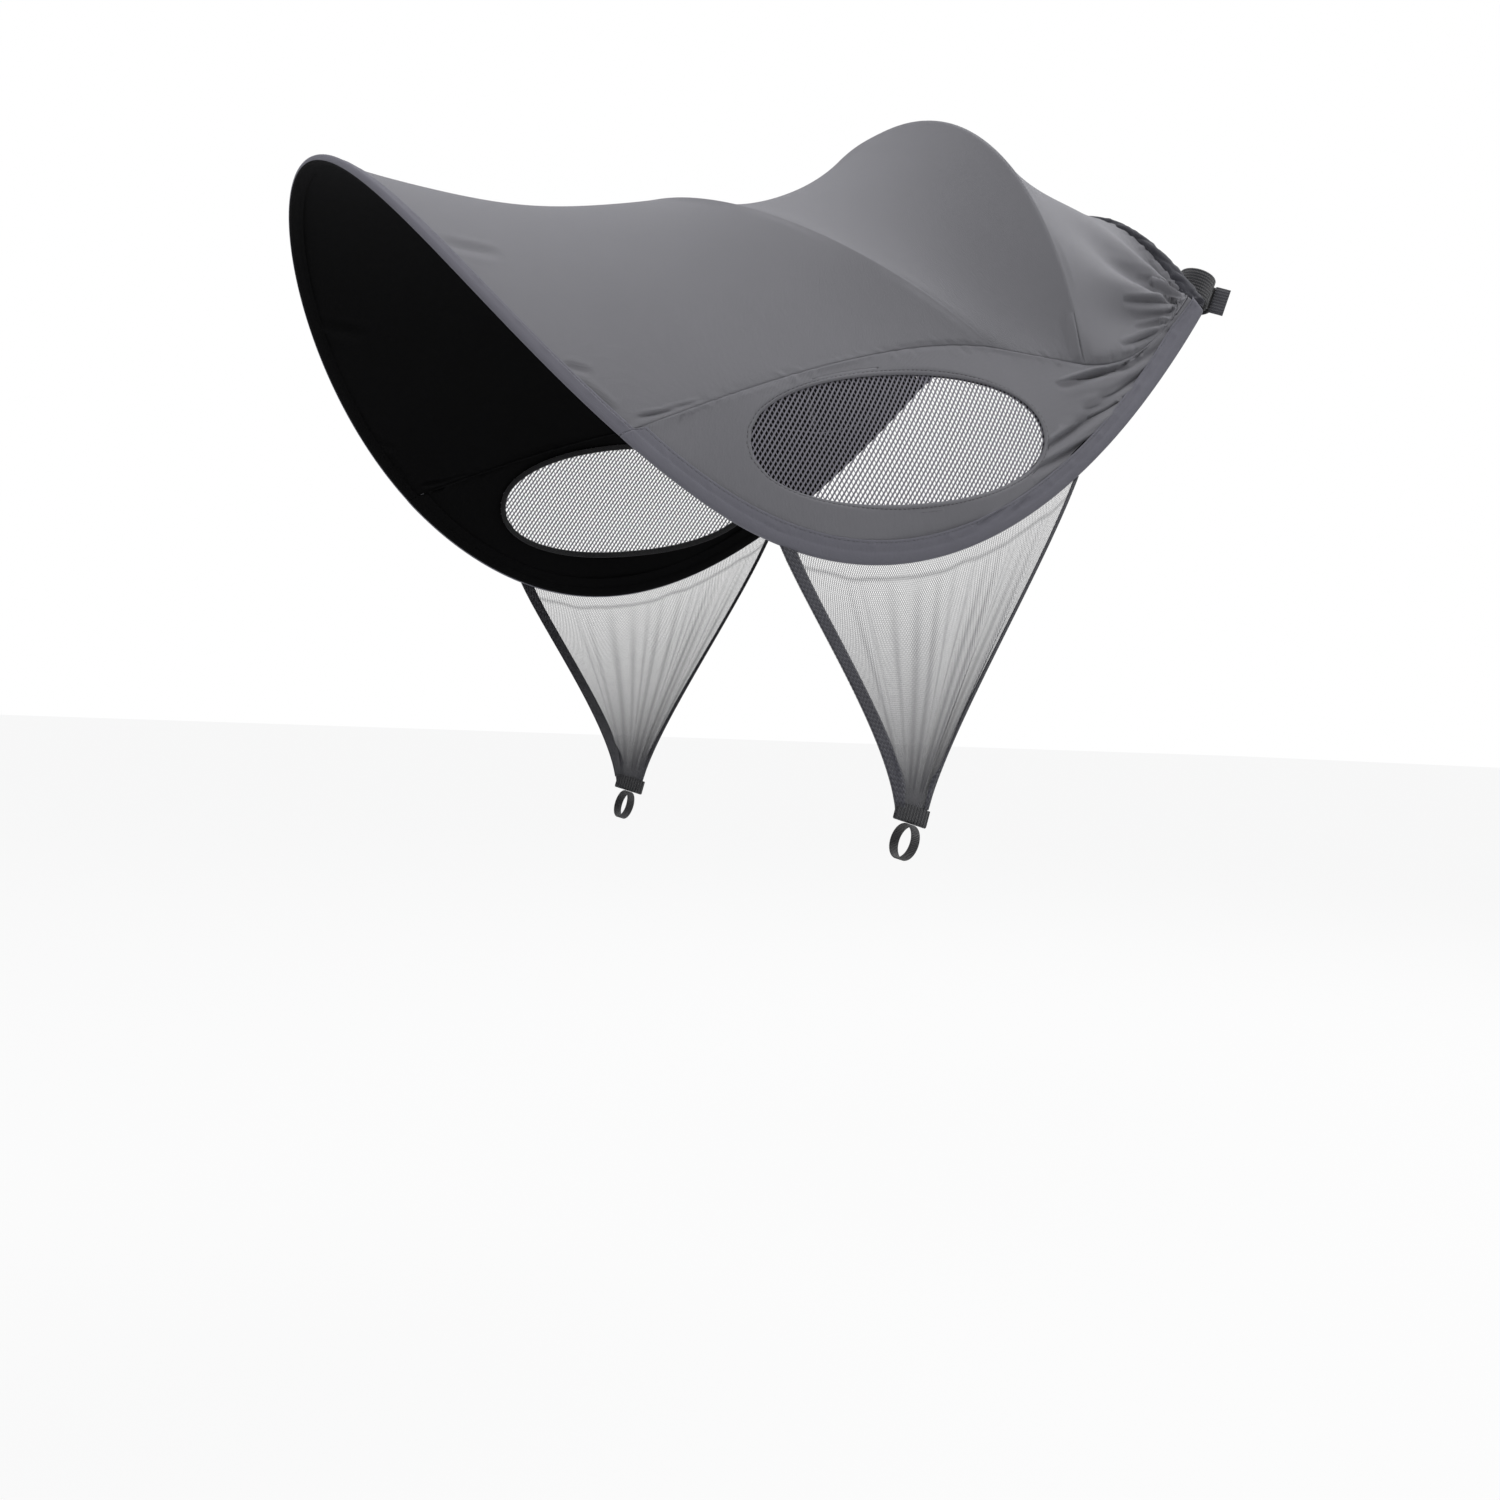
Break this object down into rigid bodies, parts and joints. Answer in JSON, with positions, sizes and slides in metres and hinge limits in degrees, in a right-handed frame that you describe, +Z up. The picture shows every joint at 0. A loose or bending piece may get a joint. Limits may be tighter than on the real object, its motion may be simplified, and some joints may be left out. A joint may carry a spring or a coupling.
{
  "type": "pram sun shade",
  "caption": "Stretch cloth hood on a sprung wire rim and bows, with oval net side windows, strap loops for the handle tubes and hanging mesh wings.",
  "frame": {"origin": "midway between the two rear corners of the rim, where straps hold the shade to the handle tubes", "axes": "+X across the shade to its right side, -Y forward to the peak of the visor, +Z up"},
  "size_m": [0.5148, 0.7586, 0.6253],
  "materials": {
    "canopy_cloth": "matt stretch knit, mid grey outside",
    "side_cloth": "matt stretch knit, mid grey outside",
    "band_cloth": "matt stretch knit, folded double, bluish grey",
    "tape": "matt black tape",
    "window_net": "fine black open net",
    "sheer_mesh": "sheer black mesh",
    "webbing": "woven black tape",
    "loop_fastener": "brushed nap",
    "hook_fastener": "moulded hooks",
    "elastic": "round covered cord",
    "elastic_band": "knitted elastic band",
    "spring_steel": "drawn spring wire",
    "tip_plastic": "moulded end caps"
  },
  "bodies": {
    "rear": {"rear_panel": "canopy_cloth", "rear_hem": "band_cloth", "rear_elastic": "elastic", "corner_strap_left": "webbing", "corner_strap_right": "webbing", "loop_patch_left": "loop_fastener", "loop_patch_right": "loop_fastener"},
    "hood": {"canopy_panel": "canopy_cloth", "side_panel_left": "side_cloth", "side_panel_right": "side_cloth", "window_mesh_left": "window_net", "window_mesh_right": "window_net", "window_tape_left": "tape", "window_tape_right": "tape", "rim_binding": "band_cloth", "lower_band_left": "band_cloth", "lower_band_right": "band_cloth", "rim_wire": "spring_steel", "rim_wire_tip_left": "tip_plastic", "rim_wire_tip_right": "tip_plastic", "mid_bow": "spring_steel", "mid_bow_sleeve": "tape", "mid_bow_tip_left": "tip_plastic", "mid_bow_tip_right": "tip_plastic", "rear_bow": "spring_steel", "rear_bow_sleeve": "tape", "rear_bow_tip_left": "tip_plastic", "rear_bow_tip_right": "tip_plastic"},
    "tail_left": {"strap_tail_left": "webbing", "hook_patch_left": "hook_fastener"},
    "wing_left": {"mesh_wing_left": "sheer_mesh", "wing_front_hem_left": "tape", "wing_rear_binding_left": "tape", "wing_tab_left": "webbing"},
    "loop_left": {"wing_loop_left": "elastic_band"},
    "tail_right": {"strap_tail_right": "webbing", "hook_patch_right": "hook_fastener"},
    "wing_right": {"mesh_wing_right": "sheer_mesh", "wing_front_hem_right": "tape", "wing_rear_binding_right": "tape", "wing_tab_right": "webbing"},
    "loop_right": {"wing_loop_right": "elastic_band"}
  },
  "joints": [
    {"name": "hood_tilt", "type": "hinge", "parent": "rear", "child": "hood", "pos_m": [0, 0, 0], "axis": [-1, 0, 0], "range_deg": [-10, 30], "deforming": ["rear_panel"]},
    {"name": "strap_tail_peel_left", "type": "hinge", "parent": "rear", "child": "tail_left", "pos_m": [-0.15652, 0.03337, 0.02598], "axis": [0, -0.3584, -0.9336], "range_deg": [0, 110]},
    {"name": "wing_swing_left", "type": "hinge", "parent": "hood", "child": "wing_left", "pos_m": [-0.24325, -0.42, -0.23073], "axis": [0.0243, 0.9612, 0.2747], "range_deg": [-35, 75]},
    {"name": "loop_swing_left", "type": "hinge", "parent": "wing_left", "child": "loop_left", "pos_m": [-0.2437, -0.30016, -0.42808], "axis": [0, -0.9656, 0.26], "range_deg": [-80, 80]},
    {"name": "strap_tail_peel_right", "type": "hinge", "parent": "rear", "child": "tail_right", "pos_m": [0.15652, 0.03337, 0.02598], "axis": [0, 0.3584, 0.9336], "range_deg": [0, 110]},
    {"name": "wing_swing_right", "type": "hinge", "parent": "hood", "child": "wing_right", "pos_m": [0.24325, -0.42, -0.23073], "axis": [0.0243, -0.9612, -0.2747], "range_deg": [-35, 75]},
    {"name": "loop_swing_right", "type": "hinge", "parent": "wing_right", "child": "loop_right", "pos_m": [0.2437, -0.30016, -0.42808], "axis": [0, 0.9656, -0.26], "range_deg": [-80, 80]}
  ]
}
